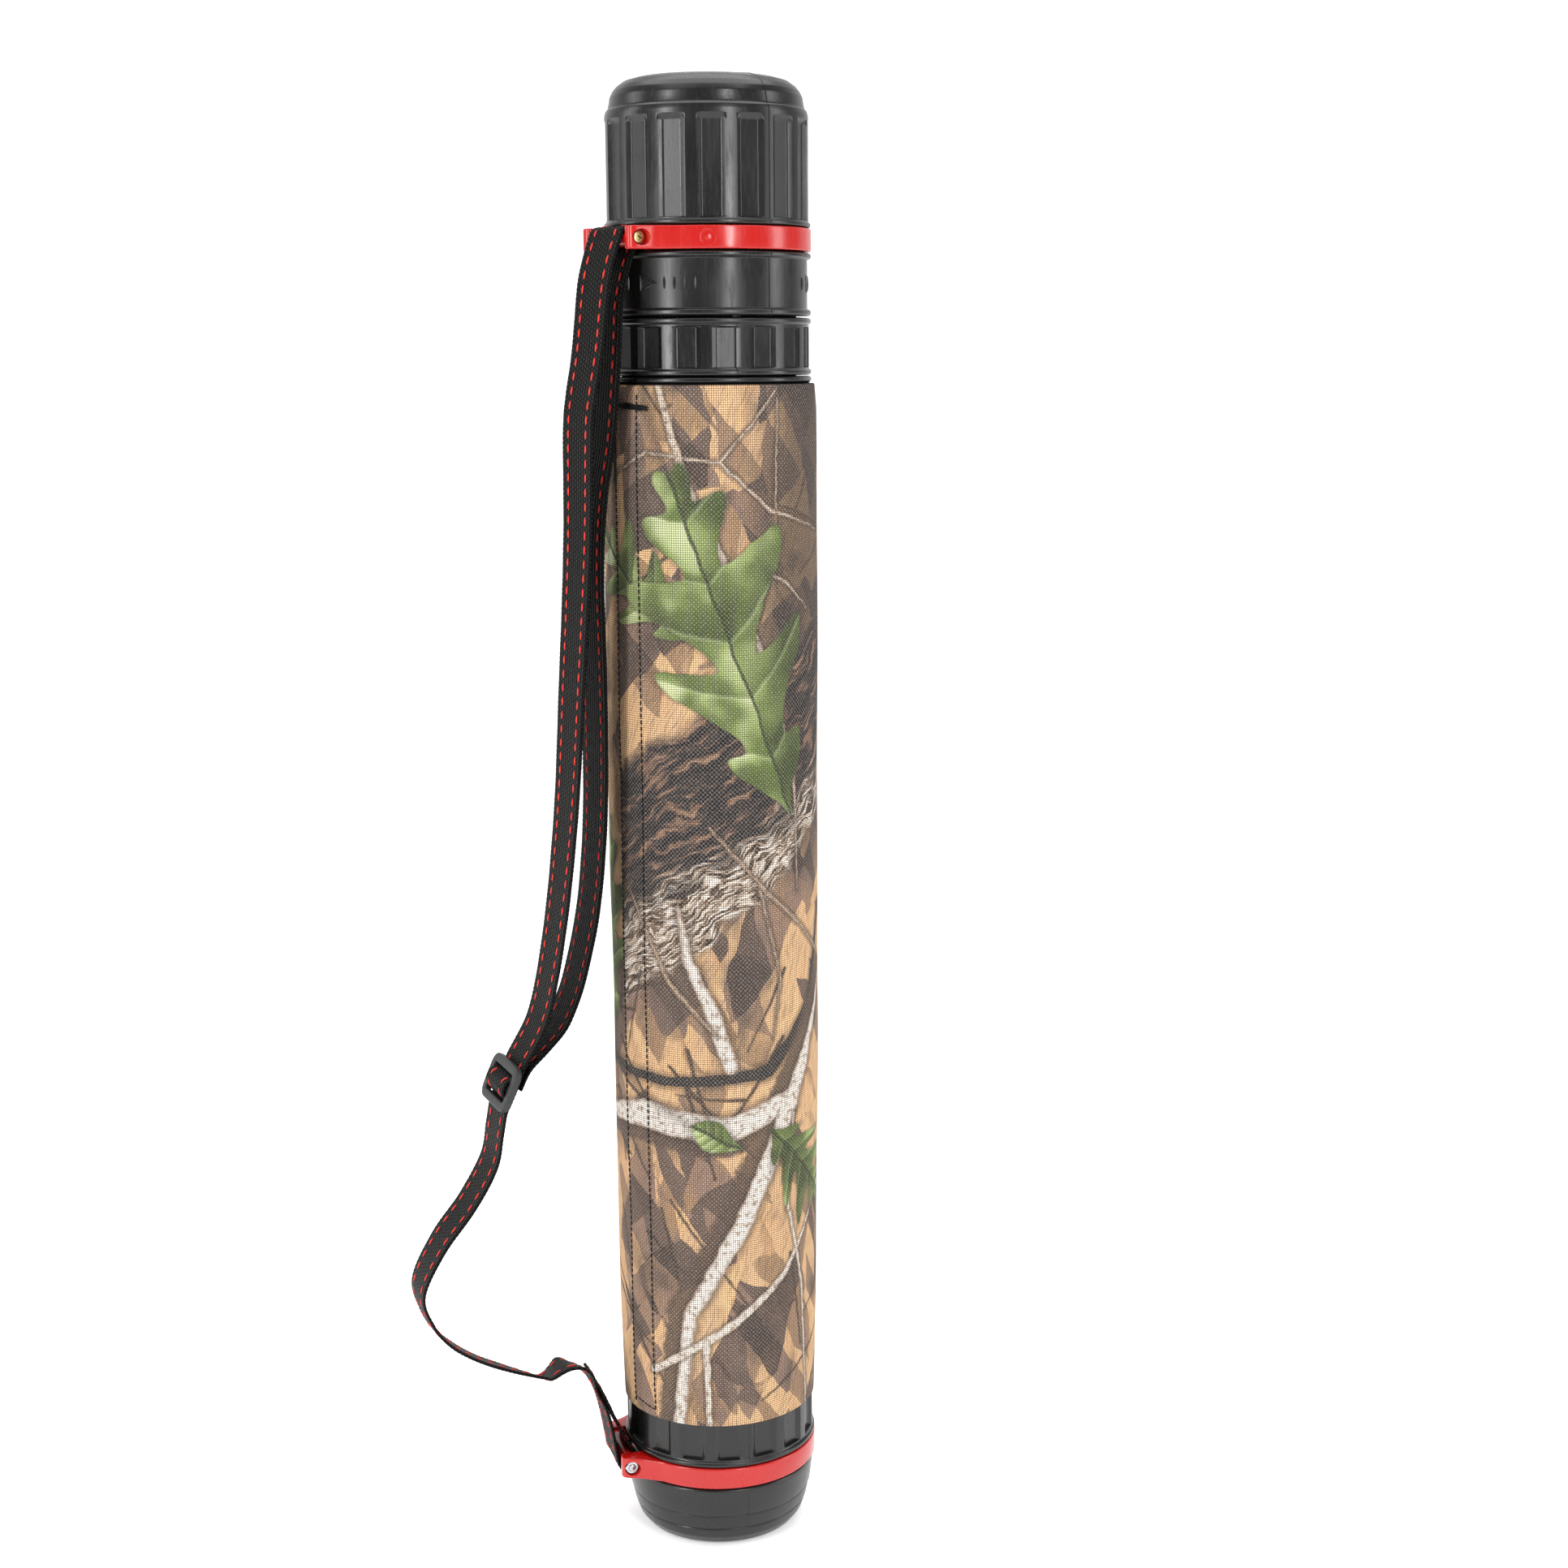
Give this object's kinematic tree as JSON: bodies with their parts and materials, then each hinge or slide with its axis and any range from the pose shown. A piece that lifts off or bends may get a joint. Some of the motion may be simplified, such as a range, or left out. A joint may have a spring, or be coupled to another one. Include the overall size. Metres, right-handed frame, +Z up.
{
  "type": "telescoping rod case",
  "caption": "Telescoping tube case for fishing rods: fluted plastic tube in a fabric sleeve, bayonet lid with domed top, clamp rings and an adjustable carrying strap.",
  "frame": {"origin": "on the tube's axis, on the flat face under the base that the case stands on", "axes": "+Z up along the tube's axis from the base to the lid; -Y towards the front, which has the lid's turn arrow; the strap's rings head towards -X and -Y"},
  "size_m": [0.1807, 0.1012, 0.639],
  "materials": {
    "tube_plastic": "semi-gloss black blow-moulded plastic",
    "ring_plastic": "glossy red moulded plastic",
    "slider_plastic": "matte dark grey moulded plastic",
    "bolt_steel": "zinc-plated steel",
    "bolt_brass": "yellow passivated steel",
    "sleeve_cloth": "woven polyester printed with leaves and bark",
    "webbing": "black woven webbing with red stitching",
    "foam": "closed-cell foam"
  },
  "bodies": {
    "outer_tube": {"outer_tube": "tube_plastic", "base_pad": "foam", "fabric_sleeve": "sleeve_cloth", "seam_strip": "sleeve_cloth"},
    "bottom_ring": {"bottom_ring": "ring_plastic", "bottom_ring_bolt": "bolt_steel", "bottom_ring_nut": "bolt_steel", "strap_bottom_loop": "webbing", "strap_lower_run": "webbing"},
    "inner_tube": {"inner_tube": "tube_plastic", "strap_outer_layer": "webbing", "strap_inner_layer": "webbing"},
    "top_ring": {"top_ring": "ring_plastic", "top_ring_bolt": "bolt_brass", "top_ring_nut": "bolt_brass", "strap_top_loop": "webbing"},
    "lid": {"lid": "tube_plastic", "lid_pad": "foam"},
    "slider": {"strap_slider": "slider_plastic", "strap_slider_wrap": "webbing"}
  },
  "joints": [
    {"name": "tube_twist", "type": "hinge", "parent": "outer_tube", "child": "bottom_ring", "pos_m": [0, 0, 0.0357], "axis": [0, 0, 1], "range_deg": [0, 30]},
    {"name": "extend", "type": "slide", "parent": "bottom_ring", "child": "inner_tube", "axis": [0, 0, 1], "range_m": [0, 0.38], "deforming": ["strap_lower_run"]},
    {"name": "lid_lift", "type": "slide", "parent": "inner_tube", "child": "top_ring", "axis": [0, 0, 1], "range_m": [0, 0.055], "deforming": ["strap_outer_layer", "strap_inner_layer"]},
    {"name": "lid_turn", "type": "hinge", "parent": "top_ring", "child": "lid", "pos_m": [0, 0, 0.5722], "axis": [0, 0, 1], "range_deg": [0, 30]},
    {"name": "slider_slide", "type": "slide", "parent": "inner_tube", "child": "slider", "axis": [0.3707, 0.1469, 0.9171], "range_m": [-0.008, 0.02]}
  ]
}
